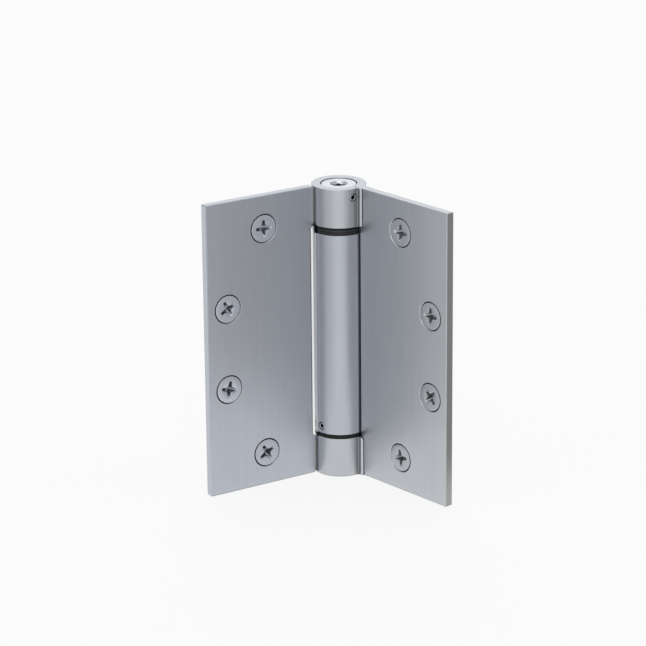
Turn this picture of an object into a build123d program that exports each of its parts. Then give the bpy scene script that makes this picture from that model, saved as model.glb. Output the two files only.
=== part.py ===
"""Three-knuckle spring hinge for a self-closing door, standing open at about a right angle.

All sizes are in millimetres. The Z axis is the pin axis and Z = 0 is the barrel's lower end.
The frame leaf runs from the barrel towards -X with its screw face towards -Y, and carries the
long middle knuckle. The door leaf carries the two short knuckles. A torsion spring inside the
long knuckle joins a plug pinned to the frame leaf with a plug pinned to the door leaf.
"""

import os
from math import asin, cos, degrees, hypot, radians, sin, sqrt, tan

from build123d import *

# Leaves
hinge_height = 114.3
leaf_reach = 57.15
sheet = 3.4
face_setback = 0.8
opening_angle = 100.0
edge_break = 0.25

# Barrel
barrel_radius = 10.3
notch_gap = 0.7
top_knuckle_height = 15.0
bottom_knuckle_height = 15.3
knuckle_break = 0.15
web_fillet = 0.6
back_fillet = 4.0
lip_rise = 0.9
lip_reach = 2.0
seam_gap = 0.2
lip_round = 1.2
tongue_gap = 0.15

# Bearing stack and lower washer
ring_setback = 0.2
flange_thickness = 1.2
bearing_thickness = 1.1
upper_washer_thickness = 0.5
lower_washer_thickness = 1.5
turning_gap = 0.1

# Plugs
running_gap = 0.05
seat_gap = 0.02
plug_break = 0.4
plug_recess = 0.3
bush_wall = 1.23
bush_length = 8.6
journal_below_bush = 2.0
nose_length = 6.0
anchor_body_length = 9.6
spigot_radius = 3.5
spigot_length = 7.9
spigot_end_gap = 0.6
socket_sides = 6
socket_across_flats = 4.76
socket_depth = 8.0
socket_rim_radius = 3.4
socket_rim_angle = 45.0

# Cross pins
pin_radius = 1.6
pin_bore_radius = 0.95
pin_slot = 0.6
pin_recess = 0.15
pin_end_gap = 0.2
pin_hole_wall = 0.6
tension_pin_drop = 3.3
tension_pin_lead = 11.0
tension_hole_count = 4
anchor_pin_rise = 2.85
anchor_pin_lead = 13.4

# Torsion spring
wire = 2.2
spring_pitch = 2.8
spring_steps = 10
spring_bore_gap = 0.5
spring_nose_gap = 0.3
spring_seat_gap = 0.15
tang_bend = 1.6
tang_inner_end = 0.8
tang_overlap = 0.3
tang_gap = 0.12

# Countersunk screws
screw_length = 9.5
screw_radius = 2.74
screw_head_radius = 5.55
screw_hole_radius = 3.0
countersink_radius = 5.75
countersink_angle = 82.0
driver_arm = 2.7
driver_width = 1.2
driver_depth = 2.4
driver_taper = 9.0
end_row_margin = 12.7
middle_row_spacing = 31.75
outer_column_margin = 8.7
column_spacing = 16.0
frame_driver_turns = (0.0, 28.0, -12.0, 30.0)
door_driver_turns = (0.0, 0.0, 45.0, 10.0)

# Directions about the pin axis, in degrees from +X
frame_direction = 180.0
door_direction = frame_direction + opening_angle
tension_pin_direction = door_direction - tension_pin_lead
anchor_pin_direction = frame_direction + anchor_pin_lead

# Which way a leaf's screw face looks: +1 is a quarter turn on from the leaf, -1 a quarter turn back
frame_front = 1
door_front = -1

# Radii and offsets that follow from the sizes above
bore_radius = barrel_radius - sheet
wall_middle = (barrel_radius + bore_radius) / 2
ring_radius = barrel_radius - ring_setback
inner_edge = barrel_radius + notch_gap
leaf_root = inner_edge + sheet
face_y = -face_setback
sheet_y = face_y - sheet / 2
back_y = face_y - sheet
plug_radius = bore_radius - running_gap
fixed_plug_radius = bore_radius - seat_gap
bush_bore_radius = fixed_plug_radius - bush_wall
journal_radius = bush_bore_radius - running_gap
spigot_bore_radius = spigot_radius + running_gap
spring_radius = bore_radius - spring_bore_gap - wire / 2
nose_radius = spring_radius - wire / 2 - spring_nose_gap
socket_corner = socket_across_flats / 2 / cos(radians(180 / socket_sides))
tension_hole_end = socket_corner + pin_hole_wall
anchor_hole_end = spigot_bore_radius + pin_hole_wall
lip_level = face_y + lip_rise
lip_centre_y = lip_level + web_fillet
lip_end = barrel_radius + lip_reach
lip_nose = lip_rise - seam_gap

# Heights along the barrel, from the lower washer up to the cross pins
lower_washer_z = bottom_knuckle_height
long_knuckle_z = lower_washer_z + lower_washer_thickness + turning_gap
top_knuckle_z = hinge_height - top_knuckle_height
upper_washer_z = top_knuckle_z - upper_washer_thickness
bearing_z = upper_washer_z - turning_gap - bearing_thickness
flange_z = bearing_z - flange_thickness
long_knuckle_height = flange_z - long_knuckle_z
tongue_low_z = bottom_knuckle_height + tongue_gap
tongue_high_z = top_knuckle_z - tongue_gap
mid_height = hinge_height / 2
tension_pin_z = hinge_height - tension_pin_drop
anchor_pin_z = long_knuckle_z + anchor_pin_rise

# Heights inside the barrel
journal_end_z = flange_z - bush_length - journal_below_bush
anchor_z = long_knuckle_z + plug_recess
anchor_shoulder_z = anchor_z + anchor_body_length
spring_low_z = anchor_shoulder_z + spring_seat_gap + wire / 2
spring_high_z = journal_end_z - spring_seat_gap - wire / 2
tang_wire = wire - 2 * running_gap
slot_width = wire + 2 * tang_gap

# Screw places on a leaf, and how deep a head sits
outer_column = leaf_reach - outer_column_margin
inner_column = outer_column - column_spacing
end_row = mid_height - end_row_margin
middle_row = middle_row_spacing / 2
cone_slope = tan(radians(countersink_angle / 2))
head_sink = (countersink_radius - screw_head_radius) / cone_slope - seat_gap
head_height = (screw_head_radius - screw_radius) / cone_slope


def heading(direction):
    """Unit vector in the XY plane."""
    return Vector(cos(radians(direction)), sin(radians(direction)), 0)


def leaf_plane(direction, height):
    """Level plane at a height, with its X along the leaf that points this way."""
    return Plane(origin=(0, 0, height), x_dir=heading(direction), z_dir=(0, 0, 1))


def face_plane(direction, front):
    """Plane of a leaf's screw face at mid-height, with X along the leaf and Z out of the face."""
    normal = heading(direction + 90 * front)
    middle = normal * face_y + Vector(0, 0, mid_height)
    return Plane(origin=middle, x_dir=heading(direction), z_dir=normal)


def radial_plane(direction, height):
    """Plane through the pin axis at a height, with its Z pointing outwards this way."""
    return Plane(origin=(0, 0, height), x_dir=(0, 0, 1), z_dir=heading(direction))


def web(front, radius, level, root_y):
    """Corner between barrel and leaf, hollowed by an arc that touches the barrel and ends at a level."""
    reach = barrel_radius + radius
    centre_y = level + radius if level > root_y else level - radius
    centre_x = sqrt(reach**2 - centre_y**2)
    touch = barrel_radius / reach
    with BuildSketch() as corner:
        with BuildLine():
            Polyline(
                (wall_middle, front * root_y),
                (centre_x, front * root_y),
                (centre_x, front * centre_y),
                (centre_x * touch, front * centre_y * touch),
                close=True,
            )
        make_face()
        with Locations((centre_x, front * centre_y)):
            Circle(radius, mode=Mode.SUBTRACT)
    return corner.sketch


def knuckle_section(front):
    """Sheet rolled into a knuckle: swaged in at the back, its rounded end just off the screw face."""
    with BuildSketch() as section:
        Circle(barrel_radius)
        add(web(front, web_fillet, lip_level, face_y))
        with Locations((wall_middle, front * (face_y + lip_rise / 2))):
            Rectangle(lip_end - lip_nose - wall_middle, lip_rise, align=(Align.MIN, Align.CENTER))
        with Locations((lip_end - lip_nose, front * (lip_level - lip_nose))):
            Circle(lip_nose)
        add(web(front, back_fillet, back_y, sheet_y))
        with Locations((wall_middle, front * sheet_y)):
            Rectangle(leaf_root - wall_middle, sheet, align=(Align.MIN, Align.CENTER))
        Circle(bore_radius, mode=Mode.SUBTRACT)
        with Locations((0, front * (face_y + seam_gap / 2))):
            Rectangle(leaf_root, seam_gap, align=(Align.MIN, Align.CENTER), mode=Mode.SUBTRACT)
    return section.sketch


def rim_break(direction, front, end, inward):
    """Tool that breaks both rims of a knuckle's end, outside only where no web meets the barrel."""
    front_touch = degrees(asin(lip_centre_y / (barrel_radius + web_fillet)))
    back_touch = degrees(asin((back_fillet - back_y) / (barrel_radius + back_fillet)))
    start = direction + (front_touch if front > 0 else back_touch)
    outer = barrel_radius + seat_gap
    inner = bore_radius - seat_gap
    depth = inward * (knuckle_break + seat_gap)
    section = Plane(origin=(0, 0, end), x_dir=heading(start), z_dir=heading(start - 90))
    with BuildPart() as tool:
        with BuildSketch(section):
            with BuildLine():
                Polyline((outer, 0), (outer, depth), (barrel_radius - knuckle_break, 0), close=True)
            make_face()
        revolve(axis=Axis.Z, revolution_arc=360 - front_touch - back_touch)
        with BuildSketch(section):
            with BuildLine():
                Polyline((inner, 0), (inner, depth), (bore_radius + knuckle_break, 0), close=True)
            make_face()
        revolve(axis=Axis.Z)
    return tool.part


def lip_corner(direction, front, end, inward):
    """Tool that rounds the outer corner of a roll's lip where the roll ends at a height."""
    up = -front
    rise = end - mid_height
    with BuildPart() as tool:
        with BuildSketch(face_plane(direction, front).offset(seam_gap / 2)):
            with Locations((lip_end, up * rise)):
                Rectangle(2 * lip_round, 2 * lip_round)
            with Locations((lip_end - lip_round, up * (rise + inward * lip_round))):
                Circle(lip_round, mode=Mode.SUBTRACT)
        extrude(amount=lip_rise + web_fillet)
    return tool.part


def screw_points(front):
    """Screw centres on the face plane, from the top screw to the bottom one."""
    up = -front
    return (
        (inner_column, up * end_row),
        (outer_column, up * middle_row),
        (outer_column, -up * middle_row),
        (inner_column, -up * end_row),
    )


def beyond_root(edge):
    """Whether a leaf's edge lies out on the leaf, clear of the knuckles."""
    return hypot(edge.center().X, edge.center().Y) > leaf_root


def leaf_with_knuckles(direction, front, knuckles):
    """Leaf plate with countersunk holes, and its knuckles given as (lower end, length)."""
    with BuildPart() as leaf:
        with BuildSketch(leaf_plane(direction, 0)):
            with Locations((inner_edge, front * sheet_y)):
                Rectangle(leaf_reach - inner_edge, sheet, align=(Align.MIN, Align.CENTER))
        extrude(amount=hinge_height)
        chamfer(leaf.edges().filter_by(beyond_root), edge_break)
        for lower_end, length in knuckles:
            with BuildSketch(leaf_plane(direction, lower_end)):
                add(knuckle_section(front))
            extrude(amount=length)
        for lower_end, length in knuckles:
            add(rim_break(direction, front, lower_end, 1), mode=Mode.SUBTRACT)
            add(rim_break(direction, front, lower_end + length, -1), mode=Mode.SUBTRACT)
        for point in screw_points(front):
            with Locations(face_plane(direction, front) * Location(point)):
                CounterSinkHole(screw_hole_radius, countersink_radius, 2 * sheet, countersink_angle)
    return leaf.part


def pin_hole(direction, height, hole_end):
    """Round tool for a cross pin's hole, from its blind end out past the barrel."""
    with BuildPart() as tool:
        with BuildSketch(radial_plane(direction, height).offset(hole_end)):
            Circle(pin_radius)
        extrude(amount=2 * barrel_radius - hole_end)
    return tool.part


def roll_pin(direction, height, hole_end):
    """Slotted spring pin driven in through the barrel wall to just short of its hole's end."""
    inner_end = hole_end + pin_end_gap
    with BuildPart() as pin:
        with BuildSketch(radial_plane(direction, height).offset(inner_end)):
            Circle(pin_radius - seat_gap)
            Circle(pin_bore_radius, mode=Mode.SUBTRACT)
            Rectangle(pin_radius, pin_slot, align=(Align.MIN, Align.CENTER), mode=Mode.SUBTRACT)
        extrude(amount=barrel_radius - pin_recess - inner_end)
    return pin.part


def ring(lower_end, thickness, inner_radius):
    """Flat ring about the pin axis, as wide as the barrel less its setback."""
    with BuildPart() as washer:
        with BuildSketch(Plane.XY.offset(lower_end)):
            Circle(ring_radius)
            Circle(inner_radius, mode=Mode.SUBTRACT)
        extrude(amount=thickness)
    return washer.part


def countersunk_screw():
    """Flat-head machine screw with a cross recess, pointing down with its head's top at Z = 0."""
    with BuildPart() as screw:
        with BuildSketch(Plane.XZ):
            with BuildLine():
                Polyline(
                    (0, 0),
                    (screw_head_radius, 0),
                    (screw_radius, -head_height),
                    (screw_radius, -screw_length),
                    (0, -screw_length),
                    close=True,
                )
            make_face()
        revolve(axis=Axis.Z)
        with BuildSketch(Plane.XY):
            Rectangle(2 * driver_arm, driver_width)
            Rectangle(driver_width, 2 * driver_arm)
        extrude(amount=-driver_depth, taper=driver_taper, mode=Mode.SUBTRACT)
    return screw.part


def screw_set(direction, front, turns):
    """The four screws of a leaf, each with its own turn of the cross recess."""
    screw = countersunk_screw()
    seat = face_plane(direction, front).offset(-head_sink)
    with BuildPart() as screws:
        for (along, up), turn in zip(screw_points(front), turns):
            with Locations(seat * Location((along, up, 0), (0, 0, turn))):
                add(screw)
    return screws.part


def wire_corners(turn, height):
    """Corners of the coil's square wire where it crosses a plane through the pin axis."""
    outwards = heading(turn)
    half = wire / 2
    return [
        outwards * (spring_radius + across) + Vector(0, 0, height + up)
        for across, up in ((-half, -half), (half, -half), (half, half), (-half, half))
    ]


def coil():
    """Coil of square wire in short straight lengths, each side of them two flat facets."""
    rise = spring_high_z - spring_low_z
    steps = int(rise / spring_pitch) * spring_steps
    sections = [
        wire_corners(360 * step / spring_steps, spring_low_z + rise * step / steps)
        for step in range(steps + 1)
    ]
    facets = [Face(Wire.make_polygon(end)) for end in (sections[0], sections[-1])]
    for near, far in zip(sections, sections[1:]):
        for corner in range(len(near)):
            facets.append(Face(Wire.make_polygon((near[corner - 1], near[corner], far[corner]))))
            facets.append(Face(Wire.make_polygon((near[corner - 1], far[corner], far[corner - 1]))))
    return Solid(Shell(facets))


def tang(height, side):
    """End of the spring wire, bent in from the coil to lie in a plug's slot."""
    bend_start = spring_radius - tang_bend
    with BuildPart() as end:
        with BuildSketch(Plane.XY.offset(height - tang_wire / 2)):
            with BuildLine():
                Line((tang_inner_end, side * tang_bend), (bend_start, side * tang_bend))
                CenterArc((bend_start, 0), tang_bend, 0, side * 90)
                Line((spring_radius, 0), (spring_radius, -side * tang_overlap))
            trace(line_width=tang_wire)
        extrude(amount=tang_wire)
    return end.part


def tang_slot(lower_end, length, side):
    """Room in a plug's nose for one tang, open at the nose's end."""
    with BuildPart() as slot:
        with Locations((tang_inner_end - tang_gap, side * tang_bend, lower_end)):
            Box(nose_radius, slot_width, length, align=(Align.MIN, Align.CENTER, Align.MIN))
    return slot.part


# Frame leaf with the long middle knuckle, whose roll runs on beside the rings as a tongue
with BuildPart() as frame_leaf:
    add(leaf_with_knuckles(frame_direction, frame_front, ((long_knuckle_z, long_knuckle_height),)))
    for lower_end, upper_end in ((tongue_low_z, long_knuckle_z), (flange_z, tongue_high_z)):
        with BuildSketch(leaf_plane(frame_direction, lower_end)):
            add(knuckle_section(frame_front))
            Circle(inner_edge, mode=Mode.SUBTRACT)
        extrude(amount=upper_end - lower_end)
    add(lip_corner(frame_direction, frame_front, tongue_low_z, 1), mode=Mode.SUBTRACT)
    add(lip_corner(frame_direction, frame_front, tongue_high_z, -1), mode=Mode.SUBTRACT)
    add(pin_hole(anchor_pin_direction, anchor_pin_z, anchor_hole_end), mode=Mode.SUBTRACT)

# Door leaf with the two short knuckles
with BuildPart() as door_leaf:
    knuckles = ((0, bottom_knuckle_height), (top_knuckle_z, top_knuckle_height))
    add(leaf_with_knuckles(door_direction, door_front, knuckles))
    add(lip_corner(door_direction, door_front, bottom_knuckle_height, -1), mode=Mode.SUBTRACT)
    add(lip_corner(door_direction, door_front, top_knuckle_z, 1), mode=Mode.SUBTRACT)
    add(pin_hole(tension_pin_direction, tension_pin_z, tension_hole_end), mode=Mode.SUBTRACT)

# Winding plug: hexagon socket and a ring of pin holes above, journal and spring nose below
with BuildPart() as winding_plug:
    plug_top_z = hinge_height - plug_recess
    with BuildSketch(Plane.XZ):
        with BuildLine():
            Polyline(
                (0, journal_end_z - nose_length),
                (nose_radius - plug_break, journal_end_z - nose_length),
                (nose_radius, journal_end_z - nose_length + plug_break),
                (nose_radius, journal_end_z),
                (journal_radius, journal_end_z),
                (journal_radius, top_knuckle_z),
                (plug_radius, top_knuckle_z),
                (plug_radius, plug_top_z - plug_break),
                (plug_radius - plug_break, plug_top_z),
                (0, plug_top_z),
                close=True,
            )
        make_face()
    revolve(axis=Axis.Z)
    with BuildSketch(Plane.XY.offset(plug_top_z)):
        RegularPolygon(socket_corner, socket_sides)
    extrude(amount=-socket_depth, mode=Mode.SUBTRACT)
    with BuildSketch(Plane.XY.offset(plug_top_z)):
        Circle(socket_rim_radius)
    rim_depth = (socket_rim_radius - socket_across_flats / 2) / tan(radians(socket_rim_angle))
    extrude(amount=-rim_depth, taper=socket_rim_angle, mode=Mode.SUBTRACT)
    for step in range(tension_hole_count):
        turn = tension_pin_direction + step * 360 / tension_hole_count
        add(pin_hole(turn, tension_pin_z, tension_hole_end), mode=Mode.SUBTRACT)
    add(tang_slot(journal_end_z - nose_length, nose_length, 1), mode=Mode.SUBTRACT)

# Anchor plug: held in the long knuckle, spring nose above, bearing for the lower pivot below
with BuildPart() as anchor_plug:
    nose_top_z = anchor_shoulder_z + nose_length
    bearing_top_z = bottom_knuckle_height + spigot_length + spigot_end_gap
    with BuildSketch(Plane.XZ):
        with BuildLine():
            Polyline(
                (spigot_bore_radius, anchor_z),
                (fixed_plug_radius - plug_break, anchor_z),
                (fixed_plug_radius, anchor_z + plug_break),
                (fixed_plug_radius, anchor_shoulder_z),
                (nose_radius, anchor_shoulder_z),
                (nose_radius, nose_top_z - plug_break),
                (nose_radius - plug_break, nose_top_z),
                (0, nose_top_z),
                (0, bearing_top_z),
                (spigot_bore_radius, bearing_top_z),
                close=True,
            )
        make_face()
    revolve(axis=Axis.Z)
    add(pin_hole(anchor_pin_direction, anchor_pin_z, anchor_hole_end), mode=Mode.SUBTRACT)
    add(tang_slot(anchor_shoulder_z, nose_length, -1), mode=Mode.SUBTRACT)

# Torsion spring, with both ends of its wire turned in
with BuildPart() as torsion_spring:
    add(coil())
    add(tang(spring_low_z, -1))
    add(tang(spring_high_z, 1))

# Flanged bush in the top of the long knuckle, carrying the winding plug's journal
with BuildPart() as flanged_bush:
    with BuildSketch(Plane.XZ):
        with BuildLine():
            Polyline(
                (bush_bore_radius, flange_z - bush_length),
                (fixed_plug_radius, flange_z - bush_length),
                (fixed_plug_radius, flange_z),
                (ring_radius, flange_z),
                (ring_radius, bearing_z),
                (bush_bore_radius, bearing_z),
                close=True,
            )
        make_face()
    revolve(axis=Axis.Z)

# Bottom pivot: pressed into the bottom knuckle, its spigot turning in the anchor plug
with BuildPart() as bottom_pivot:
    with BuildSketch(Plane.XZ):
        with BuildLine():
            Polyline(
                (0, 0),
                (fixed_plug_radius - plug_break, 0),
                (fixed_plug_radius, plug_break),
                (fixed_plug_radius, bottom_knuckle_height),
                (spigot_radius, bottom_knuckle_height),
                (spigot_radius, bottom_knuckle_height + spigot_length - plug_break),
                (spigot_radius - plug_break, bottom_knuckle_height + spigot_length),
                (0, bottom_knuckle_height + spigot_length),
                close=True,
            )
        make_face()
    revolve(axis=Axis.Z)

pieces = {
    "frame_leaf": frame_leaf.part,
    "door_leaf": door_leaf.part,
    "winding_plug": winding_plug.part,
    "tension_pin": roll_pin(tension_pin_direction, tension_pin_z, tension_hole_end),
    "upper_washer": ring(upper_washer_z, upper_washer_thickness, bush_bore_radius),
    "bearing_ring": ring(bearing_z, bearing_thickness, bush_bore_radius),
    "flanged_bush": flanged_bush.part,
    "torsion_spring": torsion_spring.part,
    "anchor_plug": anchor_plug.part,
    "anchor_pin": roll_pin(anchor_pin_direction, anchor_pin_z, anchor_hole_end),
    "lower_washer": ring(lower_washer_z, lower_washer_thickness, spigot_bore_radius),
    "bottom_pivot": bottom_pivot.part,
    "frame_leaf_screws": screw_set(frame_direction, frame_front, frame_driver_turns),
    "door_leaf_screws": screw_set(door_direction, door_front, door_driver_turns),
}

os.makedirs("parts", exist_ok=True)
for name, piece in pieces.items():
    piece.label = name
    export_step(piece, f"parts/{name}.step")
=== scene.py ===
"""Looks of the spring hinge: satin steel leaves and knuckles, turned plugs, black rings and screws."""

from math import cos, pi, radians, sin

import bmesh
import bpy
from mathutils import Matrix, Vector


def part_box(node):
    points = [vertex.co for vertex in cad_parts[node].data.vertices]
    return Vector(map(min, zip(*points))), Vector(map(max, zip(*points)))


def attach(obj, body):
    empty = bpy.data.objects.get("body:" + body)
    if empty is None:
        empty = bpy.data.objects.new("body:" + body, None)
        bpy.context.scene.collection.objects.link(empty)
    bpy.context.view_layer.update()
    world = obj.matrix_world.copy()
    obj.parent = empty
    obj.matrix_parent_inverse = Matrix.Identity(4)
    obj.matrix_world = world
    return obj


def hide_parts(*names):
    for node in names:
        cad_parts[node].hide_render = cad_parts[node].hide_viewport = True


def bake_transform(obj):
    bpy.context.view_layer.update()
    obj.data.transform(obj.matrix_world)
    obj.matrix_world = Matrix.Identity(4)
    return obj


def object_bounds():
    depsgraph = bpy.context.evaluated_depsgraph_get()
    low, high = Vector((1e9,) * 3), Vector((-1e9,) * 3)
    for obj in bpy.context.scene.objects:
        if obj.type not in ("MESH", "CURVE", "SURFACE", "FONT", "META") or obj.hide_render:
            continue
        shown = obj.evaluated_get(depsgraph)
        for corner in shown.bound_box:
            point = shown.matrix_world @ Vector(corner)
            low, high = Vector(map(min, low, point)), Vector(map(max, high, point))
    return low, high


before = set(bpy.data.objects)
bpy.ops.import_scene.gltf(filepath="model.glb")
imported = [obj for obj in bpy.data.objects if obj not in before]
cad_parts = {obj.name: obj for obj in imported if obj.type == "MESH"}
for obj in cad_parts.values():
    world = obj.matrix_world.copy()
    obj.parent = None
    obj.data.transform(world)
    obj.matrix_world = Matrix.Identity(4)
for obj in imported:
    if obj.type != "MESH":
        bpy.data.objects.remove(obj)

cad_low, cad_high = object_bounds()
MM = 0.001
HINGE_HEIGHT = 114.3 * MM
MIDDLE = Vector((0, 0, HINGE_HEIGHT / 2))
IN_PLACE = Matrix.Identity(4)

# Camera, as an orbit round the middle of the pin axis
VIEW_AZIMUTH = radians(-32.02)
VIEW_ELEVATION = radians(18.874)
VIEW_ROLL = radians(-0.5296)
VIEW_DISTANCE = 1149.2 * MM
VIEW_SLIDE = (-6.366 * MM, 1.486 * MM)
VIEW_NEAR = 0.01
VIEW_FAR = 20
LENS = 168.32
SENSOR = 36.0

# Soft lamps, in degrees and metres: azimuth, elevation, distance, width, height and brightness
LAMPS = {
    "overhead": (0, 89, 1.3, 1.2, 1.2, 1.0),
    "camera_side": (-32, 35, 1.5, 0.9, 0.9, 1.0),
    "left": (-95, 25, 1.5, 0.9, 0.9, 0.5),
    "right": (60, 30, 1.5, 0.9, 0.9, 0.5),
    "behind": (150, 35, 1.5, 1.4, 0.8, 1.1),
}

# Grey cards that only reflections show: azimuth, distance, width, height and brightness
FLAGS = {
    "right_flag": (38, 0.085, 0.16, 0.4, 0.5),
    "left_flag": (-81, 0.1, 0.085, 0.4, 0.72),
}

# Light of the room round the hinge
ROOM_LEVEL = 0.5
ROOM_TINT = (0.97, 0.985, 1.0)

# Floor: its size, its depth below the hinge, its darkest and palest grey, how much of it shows plain white
FLOOR_SIZE = 12.0
FLOOR_DROP = 0.2 * MM
FLOOR_GREYS = (0.84, 0.87)
FLOOR_WHITE = 0.86

# Leaves: direction about the pin axis in degrees, which side of it the screw face is on, how far off the axis
LEAF_DIRECTIONS = {"frame": 180.0, "door": 280.0}
LEAF_FRONTS = {"frame": 1, "door": -1}
FACE_SETBACK = 0.8 * MM

# Tints of the steel, with each leaf's tint set apart as a painted reflection colour, and brightness of a leaf
STEEL_TINT = (0.905, 0.935, 1.0)
LEAF_TINTS = {"frame": (0.87, 0.91, 1.0), "door": (0.92, 0.955, 1.0)}
LEAF_LEVEL = 0.6

# How strongly each leaf's roll is burnished and given a painted highlight at its end, darkened by painted
# shade before it, and how dark its sheared end is painted as shade
LEAF_MARKS = {"frame": (1.0, 0.38, 0.0), "door": (0.15, 0.7, 0.9)}

# Looks of those marks: burnish with its painted highlight, the share of the leaf's brightness that the
# painted shade leaves, and the sheared end's painted shade
BURNISH_HIGHLIGHT_LEVEL = 0.97
BURNISHED_ROUGHNESS = -0.08
SHADED_SHARE = 0.2
SHEARED_SHADE_LEVEL = 0.36
SHEARED_SHADE_TINT = (1.0, 0.99, 0.97)

# Places of those marks, outwards from the pin axis and out of the screw face: start, full, still full and end
BURNISH_REACH = (10.4 * MM, 11.3 * MM, 12.5 * MM, 12.7 * MM)
SHADE_REACH = (9.6 * MM, 10.2 * MM, 11.2 * MM, 11.7 * MM)
SHADE_RISE = (-0.1 * MM, 0.0, 0.5 * MM, 2.5 * MM)

# Places where the burnish with its painted highlight and the painted shade on the sheared end start and are
# full, with no end
BURNISH_RISE = (-0.74 * MM, -0.66 * MM)
SHEARED_REACH = (57.1 * MM, 57.13 * MM)

# Worn edges, brightened as wear and as a painted highlight: their radius, how well normals agree where the
# brightening starts and is full, its strength and brightness
LEAF_EDGE = 0.13 * MM
TURNED_EDGE = 0.1 * MM
EDGE_AGREEMENT = (0.995, 0.9)
LEAF_WEAR_AND_HIGHLIGHT = 0.3
LEAF_WORN_HIGHLIGHT_LEVEL = 0.8
TURNED_WEAR_AND_HIGHLIGHT = 0.8
TURNED_WORN_HIGHLIGHT_LEVEL = 0.9

# Painted shade in gaps, corners and recesses, found by occlusion: its brightness, how far it reaches out of a
# gap, and how strongly it shows
PAINTED_SHADE_LEVEL = 0.02
LEAF_SHADE_REACH = 1.7 * MM
TURNED_SHADE_REACH = 1.0 * MM
PLUG_SHADE_REACH = 4.5 * MM
SCREW_SHADE_REACH = 2.6 * MM
LEAF_SHADE_STRENGTH = {"frame": 1.0, "door": 0.85}
TURNED_SHADE_STRENGTH = 0.75

# Painted shade deep in the winding plug's socket: how deep it starts, and over what depth it turns dark
SOCKET_SHADE_DEPTH = 1.2 * MM
SOCKET_SHADE_FADE = 0.5 * MM

# Painted shade in the gap round a screw's head, as a dark ring on its rim: where it starts and is full,
# downwards and outwards
RIM_DEPTH = (0.08 * MM, 0.13 * MM)
RIM_RADIUS = (5.1 * MM, 5.15 * MM)

# How much of the steel the painted shade in the socket and on a screw's rim hides
DARK_SHARE = 0.95

# Range that a noise texture mostly keeps to, and the Mix node's sockets for two colours and their mix
NOISE_RANGE = (0.3, 0.7)
MIX_FIRST = 6
MIX_SECOND = 7
MIX_RESULT = 2

# Screws: how far each one is from the pin axis and from mid-height, its turn, and its brightness, painted as
# light and shade: darker towards the bottom and on the door leaf
SCREW_COLUMNS = (32.45 * MM, 48.45 * MM, 48.45 * MM, 32.45 * MM)
SCREW_ROWS = (44.45 * MM, 15.875 * MM, -15.875 * MM, -44.45 * MM)
SCREW_TURNS = {"frame": (0.0, 28.0, -12.0, 30.0), "door": (0.0, 0.0, 45.0, 10.0)}
SCREW_PAINTED_LEVELS = {"frame": (0.74, 0.72, 0.65, 0.55), "door": (0.64, 0.56, 0.52, 0.52)}

# Screw's head, with a ring of points just outside its recess, and its shank
HEAD_SINK = 0.04 * MM
HEAD_RADIUS = 5.2 * MM
HEAD_RING = HEAD_RADIUS * 0.65
HEAD_ROUND = 0.15 * MM
HEAD_LAND = 0.45 * MM
HEAD_HEIGHT = 3.4 * MM
SHANK_RADIUS = 2.74 * MM
SCREW_LENGTH = 9.5 * MM

# Screw's thread: pitch, depth, how far its foot is sunk in its root, and half widths in pitches
THREAD_PITCH = 1.06 * MM
THREAD_DEPTH = 0.55 * MM
THREAD_ROOT = SHANK_RADIUS - THREAD_DEPTH
THREAD_SINK = 0.05 * MM
THREAD_FOOT = 0.48
THREAD_CREST = 0.08

# Ends of the thread: in how many turns it fades, and the least share of its depth
THREAD_FADE = 0.5
THREAD_LEAST = 0.02

# Cross recess in millimetres, from above the head down: height, reach of the arms, half width, core's radius
RECESS_LAYERS = (
    (0.3, 3.5, 0.84, 1.4),
    (0.0, 3.35, 0.76, 1.3),
    (-1.2, 2.5, 0.6, 1.05),
    (-2.2, 1.7, 0.48, 0.8),
    (-2.6, 0.8, 0.3, 0.45),
)
RECESS_BREAK = 0.06 * MM
RECESS_BREAK_ANGLE = radians(40)

# Cross pins: direction, height, inner end, turn of the slot away from upright, and body
PINS = {
    "tension_pin": (269.0, 111.0 * MM, 3.55 * MM, -25.0, "door"),
    "anchor_pin": (193.4, 19.75 * MM, 4.35 * MM, 25.0, "frame"),
}
PIN_RADIUS = 1.58 * MM
PIN_BORE = 0.82 * MM
PIN_END = 10.15 * MM
PIN_CHAMFER = 0.3 * MM
PIN_EDGE = 0.06 * MM
PIN_SLOT_ANGLE = 13.7

# Torsion spring
WIRE = 2.2 * MM
WIRE_ROUND = 0.3 * MM
COIL_TURNS = 20
TANG_BEND = 1.6 * MM
TANG_END = 0.8 * MM

# Rings: body, slot, bore and rounding of the edges
RING_BORE = 5.65 * MM
SPIGOT_BORE = 3.55 * MM
RINGS = {
    "upper_washer": ("door", "black_nylon", RING_BORE, 0.12 * MM),
    "bearing_ring": ("frame", "dark_steel", RING_BORE, 0.3 * MM),
    "lower_washer": ("door", "black_nylon", SPIGOT_BORE, 0.25 * MM),
}

# Flanged bush: outer radius below its flange, thickness of the flange, and rounding of the edges
BUSH_RADIUS = 6.88 * MM
FLANGE = 1.2 * MM
BUSH_EDGE = 0.25 * MM

# Steps in a turn
LATHE_STEPS = 128
HEAD_STEPS = 96
THREAD_STEPS = 40
PIN_STEPS = 48
COIL_STEPS = 48

# Steps in the quarter turn of a screw's rim and of the bend in the spring's tang
RIM_STEPS = 6
BEND_STEPS = 8

# How near points are that are joined, and from what angle an edge is sharp
WELD_DISTANCE = 1e-7
SHARP_ANGLE = radians(35)


def heading(degrees):
    """Level unit vector in a direction about the pin axis."""
    return Vector((cos(radians(degrees)), sin(radians(degrees)), 0))


def leaf_axes(leaf):
    """Unit vectors along a leaf, away from the barrel, and out of its screw face."""
    direction = LEAF_DIRECTIONS[leaf]
    return heading(direction), heading(direction + 90 * LEAF_FRONTS[leaf])


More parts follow.
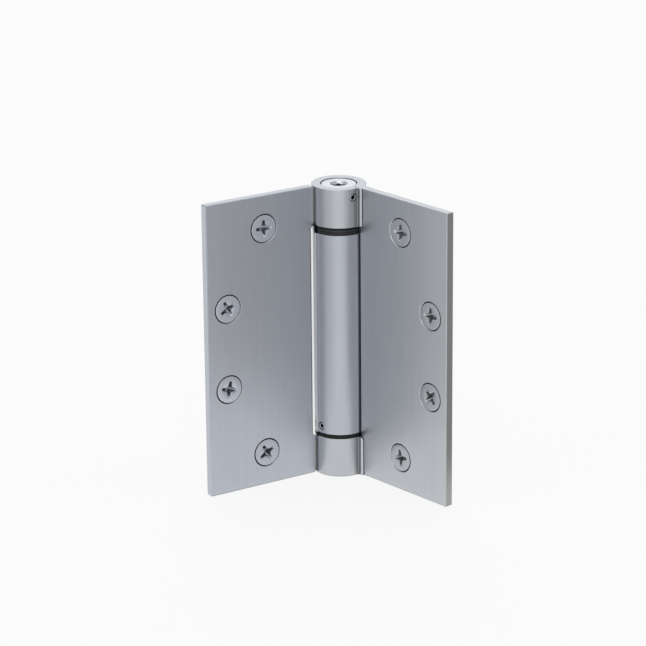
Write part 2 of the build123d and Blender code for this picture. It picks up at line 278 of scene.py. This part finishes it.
def orbit(azimuth, elevation):
    """Unit vector from the object towards a place that looks at it from this azimuth and elevation."""
    return Vector((sin(azimuth) * cos(elevation), -cos(azimuth) * cos(elevation), sin(elevation)))


def turn_onto(x, y, z):
    """Matrix that turns the X, Y and Z axes onto three unit vectors."""
    return Matrix((x, y, z)).transposed().to_4x4()


def add_object(name, data):
    """New object in the scene."""
    made = bpy.data.objects.new(name, data)
    bpy.context.scene.collection.objects.link(made)
    return made


def mesh_data(name, mesh):
    """Mesh data from a bmesh, which it frees."""
    data = bpy.data.meshes.new(name)
    mesh.to_mesh(data)
    mesh.free()
    return data


def add_camera():
    """Camera where the photograph was taken from."""
    back = orbit(VIEW_AZIMUTH, VIEW_ELEVATION)
    level = Vector((cos(VIEW_AZIMUTH), sin(VIEW_AZIMUTH), 0))
    upright = back.cross(level)
    right = cos(VIEW_ROLL) * level + sin(VIEW_ROLL) * upright
    up = cos(VIEW_ROLL) * upright - sin(VIEW_ROLL) * level
    slide_right, slide_up = VIEW_SLIDE
    place = MIDDLE + back * VIEW_DISTANCE + right * slide_right + up * slide_up
    data = bpy.data.cameras.new("camera")
    data.lens = LENS
    data.sensor_width = SENSOR
    data.clip_start = VIEW_NEAR
    data.clip_end = VIEW_FAR
    camera = add_object("camera", data)
    camera.matrix_world = Matrix.Translation(place) @ turn_onto(right, up, back)
    bpy.context.scene.camera = camera


def shade(level, tint=(1.0, 1.0, 1.0)):
    """Colour of a brightness and a tint."""
    return (level * tint[0], level * tint[1], level * tint[2], 1.0)


def tones(level, contrast, tint=STEEL_TINT):
    """The darker and the lighter colour of a brightness that varies by a contrast."""
    return shade(level * (1 - contrast), tint), shade(level * (1 + contrast), tint)


class Surface:
    """A material under construction: its node tree and its one shader."""

    def __init__(self, name):
        self.material = bpy.data.materials.new(name)
        self.material.use_nodes = True
        self.tree = self.material.node_tree
        self.shader = self.tree.nodes["Principled BSDF"]

    def add(self, kind, inputs=None, **settings):
        """New node of a kind, with its settings, and its inputs given as values or other outputs."""
        node = self.tree.nodes.new("ShaderNode" + kind)
        for key, value in settings.items():
            setattr(node, key, value)
        for key, value in (inputs or {}).items():
            self.feed(node.inputs[key], value)
        return node

    def feed(self, socket, value):
        """Links an output to a socket, or sets the socket to a constant."""
        if isinstance(value, bpy.types.NodeSocket):
            self.tree.links.new(value, socket)
        else:
            socket.default_value = value

    def set(self, **inputs):
        """Sets the shader's sockets, with underscores for spaces in their names."""
        for key, value in inputs.items():
            self.feed(self.shader.inputs[key.replace("_", " ")], value)

    def show(self, shader):
        """Makes another shader the one that is seen."""
        self.feed(self.tree.nodes["Material Output"].inputs["Surface"], shader)

    def glow(self, level):
        """Shader of an even brightness, whatever light falls on it."""
        return self.add("Emission", {"Color": shade(level), "Strength": 1.0}).outputs[0]

    def place(self):
        """Output of the place in the object's axes."""
        return self.add("TexCoord").outputs["Object"]

    def own_place(self):
        """Output of the place in a piece's own axes, kept on its mesh before it was put on the hinge."""
        return self.add("Attribute", attribute_name="own_place").outputs["Vector"]

    def stretched(self, place, x=1.0, y=1.0, z=1.0):
        """Output of a place scaled along its axes."""
        return self.add("Mapping", {"Vector": place, "Scale": (x, y, z)}).outputs[0]

    def dot(self, first, second):
        """Output of a dot product: for a place and a unit vector, how far the place lies along it."""
        return self.add("VectorMath", {0: first, 1: second}, operation="DOT_PRODUCT").outputs["Value"]

    def math(self, operation, *values):
        """Output of a math node."""
        return self.add("Math", dict(enumerate(values)), operation=operation).outputs[0]

    def plus(self, first, second):
        """Output of a sum."""
        return self.math("ADD", first, second)

    def times(self, first, second):
        """Output of a product."""
        return self.math("MULTIPLY", first, second)

    def span(self, value, low, high, out_low=0.0, out_high=1.0):
        """Output of a value carried from one range to another, and held at its ends."""
        inputs = {"Value": value, "From Min": low, "From Max": high, "To Min": out_low, "To Max": out_high}
        return self.add("MapRange", inputs).outputs[0]

    def within(self, value, low, full_low, full_high, high):
        """Output of 1 between the two middle edges, fading to 0 at the two outer ones."""
        return self.times(self.span(value, low, full_low), self.span(value, high, full_high))

    def noise(self, place, scale, detail=3.0, roughness=0.55):
        """Output of a noise texture."""
        inputs = {"Vector": place, "Scale": scale, "Detail": detail, "Roughness": roughness}
        return self.add("TexNoise", inputs).outputs["Fac"]

    def spread(self, noise, low=0.0, high=1.0):
        """Output of a noise carried from the range that it mostly keeps to, to another."""
        return self.span(noise, *NOISE_RANGE, low, high)

    def mix(self, share, first, second):
        """Output of two colours mixed."""
        node = self.add("Mix", {"Factor": share}, data_type="RGBA")
        self.feed(node.inputs[MIX_FIRST], first)
        self.feed(node.inputs[MIX_SECOND], second)
        return node.outputs[MIX_RESULT]

    def paint_shade(self, share, colour):
        """Output of a colour darkened by painted shade over a share of it."""
        return self.mix(share, colour, shade(PAINTED_SHADE_LEVEL))

    def worn_and_highlighted_edges(self, radius):
        """Normal softened at sharp edges, and how near an edge is, from 0 to 1."""
        soft_normal = self.add("Bevel", {"Radius": radius}, samples=6).outputs[0]
        plain_normal = self.add("NewGeometry").outputs["Normal"]
        return soft_normal, self.span(self.dot(soft_normal, plain_normal), *EDGE_AGREEMENT)

    def occlusion_shade(self, reach, strength, start, full):
        """How much painted shade falls where a surface is open by less than a share, over a reach."""
        open_share = self.add("AmbientOcclusion", {"Distance": reach}, samples=12).outputs["AO"]
        return self.span(open_share, start, full, 0.0, strength)

    def bump(self, height, strength, distance, normal=None):
        """Output of a normal roughened by a height, over the plain normal or a given one."""
        inputs = {"Strength": strength, "Distance": distance, "Height": height}
        if normal is not None:
            inputs["Normal"] = normal
        return self.add("Bump", inputs).outputs[0]


def leaf_marks(surface, place, leaf):
    """Shares of burnish with a painted highlight on a roll's rounded end, of painted shade before it, and of
    painted shade on the sheared end.
    """
    burnish_and_highlight_strength, shaded, sheared_shade = LEAF_MARKS[leaf]
    outwards, out_of_face = leaf_axes(leaf)
    reach = surface.dot(place, outwards)
    rise = surface.dot(place, out_of_face)
    roll_end = surface.times(surface.within(reach, *BURNISH_REACH), surface.span(rise, *BURNISH_RISE))
    before_end = surface.times(surface.within(reach, *SHADE_REACH), surface.within(rise, *SHADE_RISE))
    return (
        surface.times(roll_end, burnish_and_highlight_strength),
        surface.times(before_end, shaded),
        surface.times(surface.span(reach, *SHEARED_REACH), sheared_shade),
    )


def satin_steel(leaf):
    """Satin steel with its grain drawn along the barrel, its edges brightened as wear and as a painted
    highlight, and painted shade in its gaps.
    """
    surface = Surface(leaf + "_leaf_satin")
    # Each leaf's tint is a painted reflection colour
    tint = LEAF_TINTS[leaf]
    place = surface.place()
    grain = surface.noise(surface.stretched(place, z=0.02), scale=5200.0, detail=4.0, roughness=0.7)
    streaks = surface.noise(surface.stretched(place, z=0.05), scale=700.0, detail=3.0, roughness=0.6)
    clouds = surface.noise(place, scale=55.0, detail=3.0, roughness=0.5)
    soft_normal, wear_and_highlight = surface.worn_and_highlighted_edges(LEAF_EDGE)
    drawn = surface.plus(surface.spread(grain, 0.0, 0.6), surface.spread(streaks, 0.0, 0.4))
    colour = surface.mix(drawn, *tones(LEAF_LEVEL, 0.05, tint))
    # Edges brightened as wear and as a painted highlight
    colour = surface.mix(surface.times(wear_and_highlight, LEAF_WEAR_AND_HIGHLIGHT), colour, shade(LEAF_WORN_HIGHLIGHT_LEVEL, tint))
    rough = surface.plus(surface.spread(clouds, 0.33, 0.39), surface.spread(grain, -0.03, 0.03))
    burnish_and_highlight, shaded, sheared_shade = leaf_marks(surface, place, leaf)
    # Painted shade on the flat before the roll's end, and on the door leaf's sheared end
    colour = surface.mix(shaded, colour, shade(LEAF_LEVEL * SHADED_SHARE, tint))
    colour = surface.mix(sheared_shade, colour, shade(SHEARED_SHADE_LEVEL, SHEARED_SHADE_TINT))
    # Burnish on the roll's rounded end, with a painted highlight
    colour = surface.mix(burnish_and_highlight, colour, shade(BURNISH_HIGHLIGHT_LEVEL))
    # Painted shade in the leaf's gaps and corners, found by occlusion
    colour = surface.paint_shade(surface.occlusion_shade(LEAF_SHADE_REACH, LEAF_SHADE_STRENGTH[leaf], start=0.68, full=0.36), colour)
    rough = surface.plus(rough, surface.times(burnish_and_highlight, BURNISHED_ROUGHNESS))
    normal = surface.bump(grain, strength=0.2, distance=0.005 * MM, normal=soft_normal)
    surface.set(Base_Color=colour, Metallic=1.0, Roughness=rough, Normal=normal)
    return surface.material


def radius_and_height(surface, place):
    """Outputs of how far a place lies from its Z axis, and how high."""
    axes = surface.add("SeparateXYZ", {"Vector": place}).outputs
    across = surface.add("CombineXYZ", {"X": axes["X"], "Y": axes["Y"]}).outputs[0]
    radius = surface.add("VectorMath", {0: across}, operation="LENGTH").outputs["Value"]
    return radius, axes["Z"]


def rim_shade(surface, radius, height):
    """Share of the painted shade in a dark ring on the rim of a screw's head."""
    below_top = surface.span(surface.times(height, -1.0), *RIM_DEPTH, 0.0, DARK_SHARE)
    return surface.times(below_top, surface.span(radius, *RIM_RADIUS))


def turned_steel(
    name, level, rough=0.3, tint=STEEL_TINT, shade_reach=TURNED_SHADE_REACH,
    own_axes=False, shaded_below=None, shaded_rim=False,
):
    """Steel turned on a lathe, with fine rings about an axis, its edges brightened as wear and as a painted
    highlight, painted shade in its gaps, and perhaps painted shade below a height or on a rim.
    """
    surface = Surface(name)
    place = surface.own_place() if own_axes else surface.place()
    radius, height = radius_and_height(surface, place)
    turning = surface.add("CombineXYZ", {"X": radius, "Y": height}).outputs[0]
    rings = surface.noise(turning, scale=4500.0, detail=3.0, roughness=0.6)
    clouds = surface.noise(place, scale=160.0, detail=3.0, roughness=0.5)
    soft_normal, wear_and_highlight = surface.worn_and_highlighted_edges(TURNED_EDGE)
    colour = surface.mix(surface.spread(rings), *tones(level, 0.08, tint))
    # Edges brightened as wear and as a painted highlight
    colour = surface.mix(surface.times(wear_and_highlight, TURNED_WEAR_AND_HIGHLIGHT), colour, shade(TURNED_WORN_HIGHLIGHT_LEVEL, tint))
    # Painted shade in gaps and recesses, found by occlusion
    colour = surface.paint_shade(surface.occlusion_shade(shade_reach, TURNED_SHADE_STRENGTH, start=0.72, full=0.3), colour)
    # Painted shade deep in a socket, below a height
    if shaded_below:
        socket_shade = surface.span(height, shaded_below, shaded_below - SOCKET_SHADE_FADE, 0.0, DARK_SHARE)
        colour = surface.paint_shade(socket_shade, colour)
    # Painted shade in the gap round a screw's head
    if shaded_rim:
        colour = surface.paint_shade(rim_shade(surface, radius, height), colour)
    roughness = surface.spread(clouds, rough - 0.04, rough + 0.05)
    normal = surface.bump(rings, strength=0.3, distance=0.008 * MM, normal=soft_normal)
    surface.set(Base_Color=colour, Metallic=1.0, Roughness=roughness, Normal=normal)
    return surface.material


def black_nylon(name, sheen=0.25):
    """Black nylon with a fine moulded texture and a slight sheen."""
    surface = Surface(name)
    place = surface.place()
    texture = surface.noise(place, scale=2600.0, detail=4.0, roughness=0.6)
    clouds = surface.noise(place, scale=260.0, detail=2.0, roughness=0.5)
    roughness = surface.spread(clouds, 0.34, 0.46)
    normal = surface.bump(texture, strength=0.25, distance=0.01 * MM)
    colour = surface.mix(clouds, shade(0.006, STEEL_TINT), shade(0.014, STEEL_TINT))
    surface.set(Base_Color=colour, Roughness=roughness, Normal=normal, Specular_IOR_Level=sheen)
    return surface.material


def dark_steel(name, level, rough):
    """Blackened, oiled steel with rings left by turning or drawing."""
    surface = Surface(name)
    place = surface.place()
    rings = surface.noise(surface.stretched(place, x=0.02, y=0.02), scale=5000.0, detail=3.0, roughness=0.6)
    clouds = surface.noise(place, scale=300.0, detail=3.0, roughness=0.6)
    colour = surface.mix(surface.spread(rings), *tones(level, 0.25))
    roughness = surface.spread(clouds, rough - 0.06, rough + 0.06)
    normal = surface.bump(rings, strength=0.3, distance=0.01 * MM)
    surface.set(Base_Color=colour, Metallic=0.9, Roughness=roughness, Normal=normal)
    return surface.material


def add_piece(name, mesh, matrix, material, node):
    """Piece from a bmesh, put in place, that stands for a CAD node."""
    own = mesh.verts.layers.float_vector.new("own_place")
    for corner in mesh.verts:
        corner[own] = corner.co
    mesh.transform(matrix)
    data = mesh_data(name, mesh)
    data.set_sharp_from_angle(angle=SHARP_ANGLE)
    data.materials.append(material)
    piece = add_object(name, data)
    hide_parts(node)
    return piece


def skin(sections, looped):
    """Closed mesh drawn over a row of cross-sections, which is looped or has two flat ends."""
    mesh = bmesh.new()
    rows = [[mesh.verts.new(point) for point in section] for section in sections]
    pairs = list(zip(rows, rows[1:]))
    if looped:
        pairs.append((rows[-1], rows[0]))
    else:
        mesh.faces.new(rows[0])
        mesh.faces.new(rows[-1])
    for near, far in pairs:
        for corner in range(len(near)):
            mesh.faces.new((near[corner - 1], near[corner], far[corner], far[corner - 1]))
    bmesh.ops.remove_doubles(mesh, verts=mesh.verts, dist=WELD_DISTANCE)
    bmesh.ops.recalc_face_normals(mesh, faces=mesh.faces)
    for face in mesh.faces:
        face.smooth = True
    return mesh


def turned(outline, steps=LATHE_STEPS, start=0.0, end=360.0):
    """Mesh of an outline of (radius, height) points turned about Z, all round or part of the way."""
    sweep = end - start
    whole = sweep == 360.0
    count = steps if whole else steps + 1
    angles = [radians(start + sweep * step / steps) for step in range(count)]
    return skin([[(r * cos(a), r * sin(a), z) for r, z in outline] for a in angles], looped=whole)


def rounded(corners, radius, steps=4):
    """Outline whose corners are rounded, given as (x, y) points in order."""
    points = [Vector(corner) for corner in corners]
    outline = []
    for index, corner in enumerate(points):
        before = (points[index - 1] - corner).normalized()
        after = (points[(index + 1) % len(points)] - corner).normalized()
        for step in range(steps + 1):
            share = step / steps
            outline.append(corner + radius * (before * (1 - share) ** 2 + after * share**2))
    return outline


def add_rings():
    """The washers and the bearing ring, with their edges rounded."""
    materials = {
        "black_nylon": black_nylon("washer_nylon"),
        "dark_steel": dark_steel("bearing_steel", level=0.06, rough=0.34),
    }
    for node, (body, slot, bore, edge) in RINGS.items():
        low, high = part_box(node)
        corners = ((bore, low.z), (high.x, low.z), (high.x, high.z), (bore, high.z))
        mesh = turned(rounded(corners, edge))
        piece = add_piece(node + "_rounded", mesh, IN_PLACE, materials[slot], node)
        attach(piece, body)


def add_bush():
    """The flanged bush, with its edges rounded."""
    low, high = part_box("flanged_bush")
    corners = (
        (RING_BORE, low.z), (BUSH_RADIUS, low.z), (BUSH_RADIUS, high.z - FLANGE),
        (high.x, high.z - FLANGE), (high.x, high.z), (RING_BORE, high.z),
    )
    mesh = turned(rounded(corners, BUSH_EDGE))
    material = black_nylon("bush_nylon", sheen=0.5)
    bush = add_piece("flanged_bush_rounded", mesh, IN_PLACE, material, "flanged_bush")
    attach(bush, "frame")


def cross_outline(reach, half_width, core):
    """Outline of a cross recess: four arms with blunted tips, joined by a round core."""
    blunt, blunt_half, tip_half = reach * 0.95, half_width * 0.8, half_width * 0.4
    root, crook = core * 1.3, core * 0.8
    arm = (
        (blunt, -blunt_half), (reach, -tip_half), (reach, tip_half), (blunt, blunt_half),
        (root, half_width), (crook, crook), (half_width, root),
    )
    return [
        Matrix.Rotation(quarter * pi / 2, 2) @ Vector(point) * MM
        for quarter in range(4)
        for point in arm
    ]


def driver_tip():
    """Mesh of the room that the cross recess takes, from above the head down."""
    layers = [
        [(point.x, point.y, height * MM) for point in cross_outline(*sizes)]
        for height, *sizes in RECESS_LAYERS
    ]
    return skin(layers, looped=False)


def screw_head():
    """Countersunk head with a rounded rim and a short land, its top at Z = 0, and its shank's core."""
    angles = [radians(90 * step / RIM_STEPS) for step in range(RIM_STEPS + 1)]
    rim = [
        (HEAD_RADIUS - HEAD_ROUND + HEAD_ROUND * sin(a), -HEAD_ROUND + HEAD_ROUND * cos(a))
        for a in angles
    ]
    outline = [(0, 0), (HEAD_RING, 0)] + rim + [
        (HEAD_RADIUS, -HEAD_LAND),
        (SHANK_RADIUS, -HEAD_HEIGHT),
        (THREAD_ROOT, -HEAD_HEIGHT - THREAD_DEPTH / 2),
        (THREAD_ROOT, -SCREW_LENGTH + THREAD_DEPTH),
        (THREAD_ROOT - THREAD_DEPTH, -SCREW_LENGTH),
        (0, -SCREW_LENGTH),
    ]
    return turned(outline, HEAD_STEPS)


def screw_thread():
    """Thread wound on the shank as a ridge that fades in and out at its ends."""
    foot = THREAD_ROOT - THREAD_SINK
    top = -HEAD_HEIGHT - THREAD_DEPTH
    turns = (SCREW_LENGTH - HEAD_HEIGHT - 2 * THREAD_DEPTH) / THREAD_PITCH
    count = int(turns * THREAD_STEPS)
    sections = []
    for step in range(count + 1):
        turn = 2 * pi * step / THREAD_STEPS
        to_end = min(step, count - step) / THREAD_STEPS
        fade = min(1.0, to_end / THREAD_FADE)
        height = top - THREAD_PITCH * step / THREAD_STEPS
        crest = THREAD_ROOT + THREAD_DEPTH * max(fade, THREAD_LEAST)
        ridge = ((foot, THREAD_FOOT), (crest, THREAD_CREST), (crest, -THREAD_CREST), (foot, -THREAD_FOOT))
        sections.append([(r * cos(turn), r * sin(turn), height + THREAD_PITCH * z) for r, z in ridge])
    return skin(sections, looped=False)


def cut_head():
    """Mesh data of a screw's head and core, with the cross recess cut and its edges broken."""
    head = add_object("head_blank", mesh_data("head_blank", screw_head()))
    tip = add_object("driver_tip", mesh_data("driver_tip", driver_tip()))
    cut = head.modifiers.new("recess", "BOOLEAN")
    cut.object = tip
    soften = head.modifiers.new("break", "BEVEL")
    soften.width = RECESS_BREAK
    soften.segments = 2
    soften.angle_limit = RECESS_BREAK_ANGLE
    bpy.context.view_layer.update()
    evaluated = head.evaluated_get(bpy.context.evaluated_depsgraph_get())
    data = bpy.data.meshes.new_from_object(evaluated)
    for made in (head, tip):
        bpy.data.objects.remove(made)
    return data


def screw_shape():
    """Mesh of a screw pointing down, with its cross recess cut and its thread wound on."""
    mesh = bmesh.new()
    mesh.from_mesh(cut_head())
    mesh.from_mesh(mesh_data("thread", screw_thread()))
    return mesh


def seat(leaf, along, up, turn):
    """Place on a leaf's screw face: X along the leaf, Z out of the face, turned about Z."""
    x, z = leaf_axes(leaf)
    centre = x * along - z * (FACE_SETBACK + HEAD_SINK) + Vector((0, 0, HINGE_HEIGHT / 2 + up))
    return Matrix.Translation(centre) @ turn_onto(x, z.cross(x), z) @ Matrix.Rotation(radians(turn), 4, "Z")


def add_screws():
    """Four screws on each leaf, each with its own brightness, painted as light and shade."""
    shape = screw_shape()
    for leaf in LEAF_DIRECTIONS:
        screws = zip(SCREW_COLUMNS, SCREW_ROWS, SCREW_TURNS[leaf], SCREW_PAINTED_LEVELS[leaf])
        for number, (along, up, turn, level) in enumerate(screws, 1):
            matrix = seat(leaf, along, up, turn)
            name = f"{leaf}_screw_{number}"
            looks = {"tint": LEAF_TINTS[leaf], "shade_reach": SCREW_SHADE_REACH, "own_axes": True, "shaded_rim": True}
            # Each screw's brightness is painted light and shade, darker towards the bottom
            material = turned_steel(name + "_steel", level, **looks)
            screw = add_piece(name, shape.copy(), matrix, material, f"{leaf}_leaf_screws")
            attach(screw, leaf)
    shape.free()


def pin_outline(inner_end):
    """Outline of a cross pin's wall, chamfered outside at both ends, as (radius, distance) points."""
    chamfered = PIN_RADIUS - PIN_CHAMFER
    corners = (
        (PIN_BORE, inner_end), (chamfered, inner_end), (PIN_RADIUS, inner_end + PIN_CHAMFER),
        (PIN_RADIUS, PIN_END - PIN_CHAMFER), (chamfered, PIN_END), (PIN_BORE, PIN_END),
    )
    return rounded(corners, PIN_EDGE, steps=2)


def add_pins():
    """Slotted spring pins with chamfered ends."""
    material = turned_steel("pin_steel", level=0.55, own_axes=True)
    up = Vector((0, 0, 1))
    for node, (direction, height, inner_end, slot_turn, body) in PINS.items():
        mesh = turned(pin_outline(inner_end), PIN_STEPS, PIN_SLOT_ANGLE, 360 - PIN_SLOT_ANGLE)
        out = heading(direction)
        axes = turn_onto(up, out.cross(up), out)
        matrix = Matrix.Translation((0, 0, height)) @ axes @ Matrix.Rotation(radians(slot_turn), 4, "Z")
        pin = add_piece(node + "_chamfered", mesh, matrix, material, node)
        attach(pin, body)


def spring_path(radius, low, rise):
    """Places along the spring's wire and their outward directions: a tang, the coil and a tang."""
    tang = [(Vector((TANG_END, -TANG_BEND, low)), Vector((0, -1, 0)))]
    for step in range(BEND_STEPS + 1):
        out = heading(-90 + 90 * step / BEND_STEPS)
        tang.append((Vector((radius - TANG_BEND, 0, low)) + out * TANG_BEND, out))
    path = list(tang)
    count = COIL_TURNS * COIL_STEPS
    for step in range(1, count):
        out = heading(360 * step / COIL_STEPS)
        path.append((out * radius + Vector((0, 0, low + rise * step / count)), out))
    for place, out in reversed(tang):
        path.append((Vector((place.x, -place.y, low + rise)), Vector((out.x, -out.y, 0))))
    return path


def add_spring():
    """Coil of square wire with softened corners and turned-in ends."""
    low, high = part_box("torsion_spring")
    half, edge = WIRE / 2, WIRE / 2 - WIRE_ROUND
    outline = (
        (half, -edge), (half, edge), (edge, half), (-edge, half),
        (-half, edge), (-half, -edge), (-edge, -half), (edge, -half),
    )
    sections = [
        [place + out * across + Vector((0, 0, up)) for across, up in outline]
        for place, out in spring_path(high.x - half, low.z + half, high.z - low.z - WIRE)
    ]
    material = dark_steel("spring_wire", level=0.16, rough=0.36)
    mesh = skin(sections, looped=False)
    spring = add_piece("wound_spring", mesh, IN_PLACE, material, "torsion_spring")
    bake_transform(spring)


def dress_nodes():
    """Materials for the CAD solids that are shown as they are."""
    # Painted shade deep in the winding plug's socket starts below this height
    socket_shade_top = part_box("winding_plug")[1].z - SOCKET_SHADE_DEPTH
    materials = {
        "frame_leaf": satin_steel("frame"),
        "door_leaf": satin_steel("door"),
        "winding_plug": turned_steel("winding_plug_turned", level=0.78, shade_reach=PLUG_SHADE_REACH, shaded_below=socket_shade_top),
        "anchor_plug": turned_steel("anchor_plug_turned", level=0.5, rough=0.34),
        "bottom_pivot": turned_steel("bottom_pivot_turned", level=0.5, rough=0.34),
    }
    for node, material in materials.items():
        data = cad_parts[node].data
        data.materials.clear()
        data.materials.append(material)


def add_floor():
    """Pale floor under the hinge, shown whiter than it is lit, with the hinge's soft shadow on it."""
    bpy.ops.mesh.primitive_plane_add(size=FLOOR_SIZE, location=(0, 0, cad_low.z - FLOOR_DROP))
    floor = bpy.context.active_object
    floor.name = "floor"
    surface = Surface("floor")
    darkest, palest = FLOOR_GREYS
    mottled = surface.mix(surface.noise(surface.place(), scale=3.0), shade(darkest), shade(palest))
    surface.set(Base_Color=mottled, Roughness=0.9)
    rays = surface.add("LightPath").outputs
    seen = surface.plus(rays["Is Camera Ray"], rays["Is Glossy Ray"])
    seen = surface.plus(seen, rays["Is Transmission Ray"])
    share = surface.times(surface.math("MINIMUM", seen, 1.0), FLOOR_WHITE)
    shaders = {0: share, 1: surface.shader.outputs[0], 2: surface.glow(1.0)}
    surface.show(surface.add("MixShader", shaders).outputs[0])
    floor.data.materials.append(surface.material)


def add_lamp(name, azimuth, elevation, distance, width, height, level):
    """Soft rectangular lamp of a given brightness that faces the hinge, unseen by the camera."""
    data = bpy.data.lights.new(name, "AREA")
    data.shape = "RECTANGLE"
    data.size = width
    data.size_y = height
    data.energy = level * pi * width * height
    towards = orbit(radians(azimuth), radians(elevation))
    lamp = add_object(name, data)
    lamp.location = towards * distance + MIDDLE
    lamp.rotation_euler = towards.to_track_quat("Z", "Y").to_euler()
    lamp.visible_camera = False


def add_flag(name, azimuth, distance, width, height, level):
    """Upright grey card facing the hinge, which only shows in reflections."""
    towards = orbit(radians(azimuth), 0)
    bpy.ops.mesh.primitive_plane_add(size=1.0)
    flag = bpy.context.active_object
    flag.name = name
    flag.scale = (width, height, 1)
    flag.location = towards * distance + Vector((0, 0, height / 2))
    flag.rotation_euler = towards.to_track_quat("Z", "Y").to_euler()
    flag.visible_camera = False
    flag.visible_diffuse = False
    flag.visible_shadow = False
    surface = Surface(name)
    surface.show(surface.glow(level))
    flag.data.materials.append(surface.material)


def add_light():
    """Soft studio light: a level room, large lamps, and cards that keep the leaves from glaring."""
    world = bpy.data.worlds.new("room")
    bpy.context.scene.world = world
    world.use_nodes = True
    background = world.node_tree.nodes["Background"]
    background.inputs["Color"].default_value = shade(1.0, ROOM_TINT)
    background.inputs["Strength"].default_value = ROOM_LEVEL
    for name, sizes in LAMPS.items():
        add_lamp(name, *sizes)
    for name, sizes in FLAGS.items():
        add_flag(name, *sizes)


add_camera()
add_floor()
add_light()
dress_nodes()
add_rings()
add_bush()
add_screws()
add_pins()
add_spring()

bpy.context.scene.view_settings.view_transform = "Standard"
